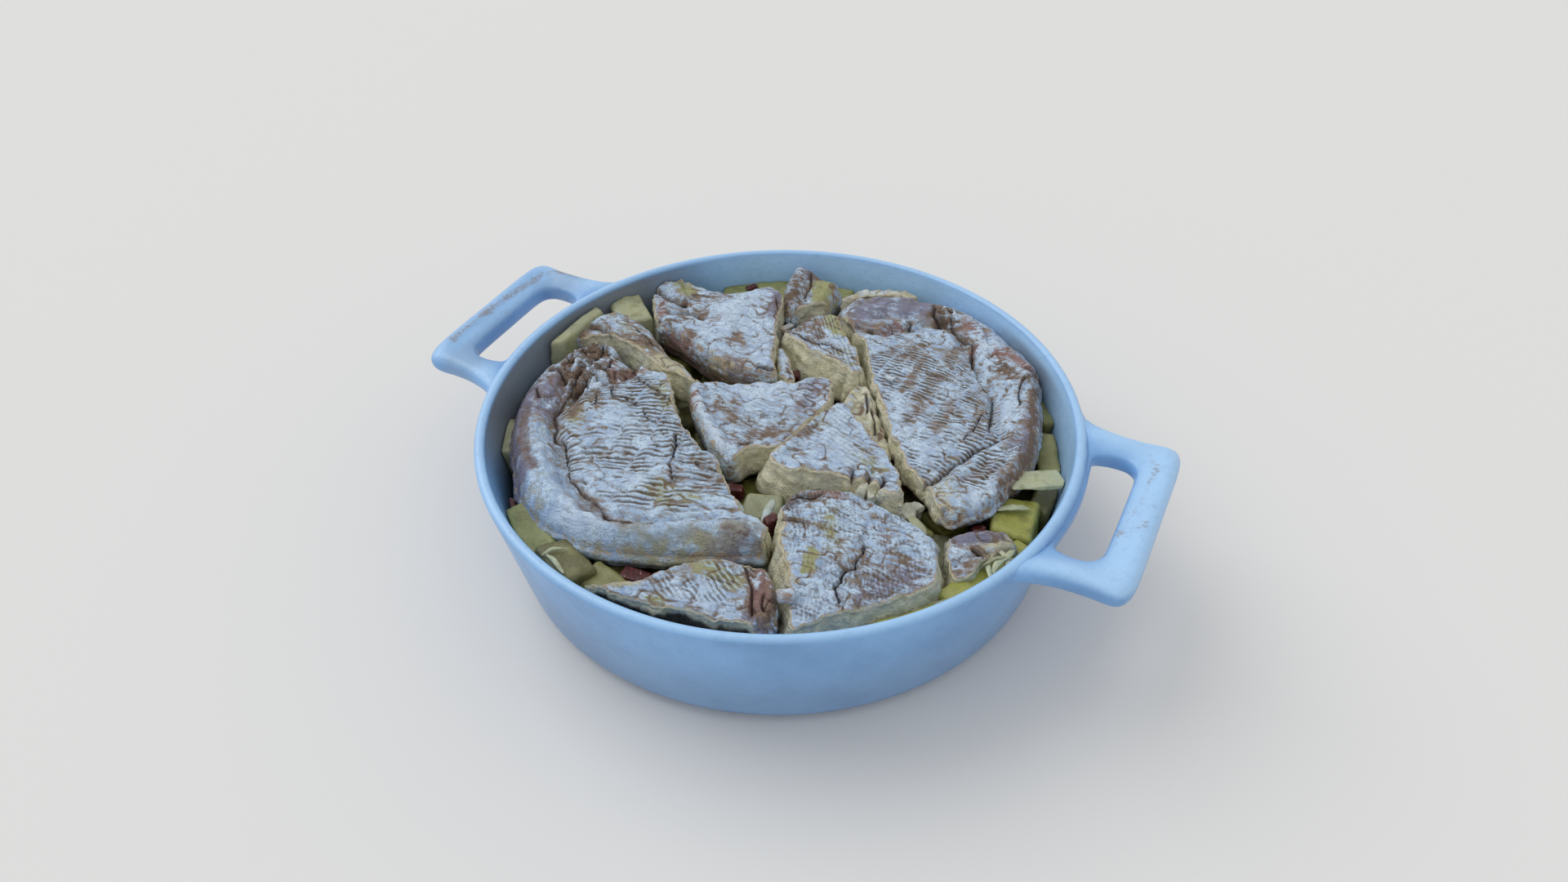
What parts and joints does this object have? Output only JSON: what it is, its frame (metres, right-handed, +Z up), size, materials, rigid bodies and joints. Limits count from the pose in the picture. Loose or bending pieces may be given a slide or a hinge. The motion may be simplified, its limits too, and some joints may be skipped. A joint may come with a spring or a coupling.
{
  "type": "tartiflette",
  "caption": "uncooked tartiflette in a round eared oven dish: potato chunks and lardons under cut pieces of washed-rind cheese, rind side up",
  "frame": {"origin": "centre of the dish's base, on the surface it stands on", "axes": "+Z up, +X through the ear at the right of the picture, +Y away from the camera's side"},
  "size_m": [0.2901, 0.23, 0.058],
  "materials": {
    "glaze": "glossy pale blue glaze, worn brown along the ears",
    "rind": "matt bloomy washed rind over cream cheese",
    "potato": "moist cut potato",
    "bacon": "moist cured meat"
  },
  "bodies": {
    "root": {"crumb_back": "rind", "crumb_white": "rind", "crumbled_wedge": "rind", "dish": "glaze", "edge_strip_left": "rind", "half_wheel_left": "rind", "half_wheel_right": "rind", "lardon_1": "bacon", "lardon_2": "bacon", "lardon_3": "bacon", "lardon_4": "bacon", "lardon_5": "bacon", "lardon_6": "bacon", "lardon_7": "bacon", "lardon_8": "bacon", "lardon_9": "bacon", "potato_bed": "potato", "rind_nub": "rind", "rind_sliver": "rind", "rind_strip_back": "rind", "scrap_right": "rind", "wedge_back": "rind", "wedge_back_left": "rind", "wedge_centre": "rind", "wedge_front": "rind", "wedge_front_left": "rind", "wedge_right": "rind", "wedge_upper": "rind"}
  },
  "joints": []
}
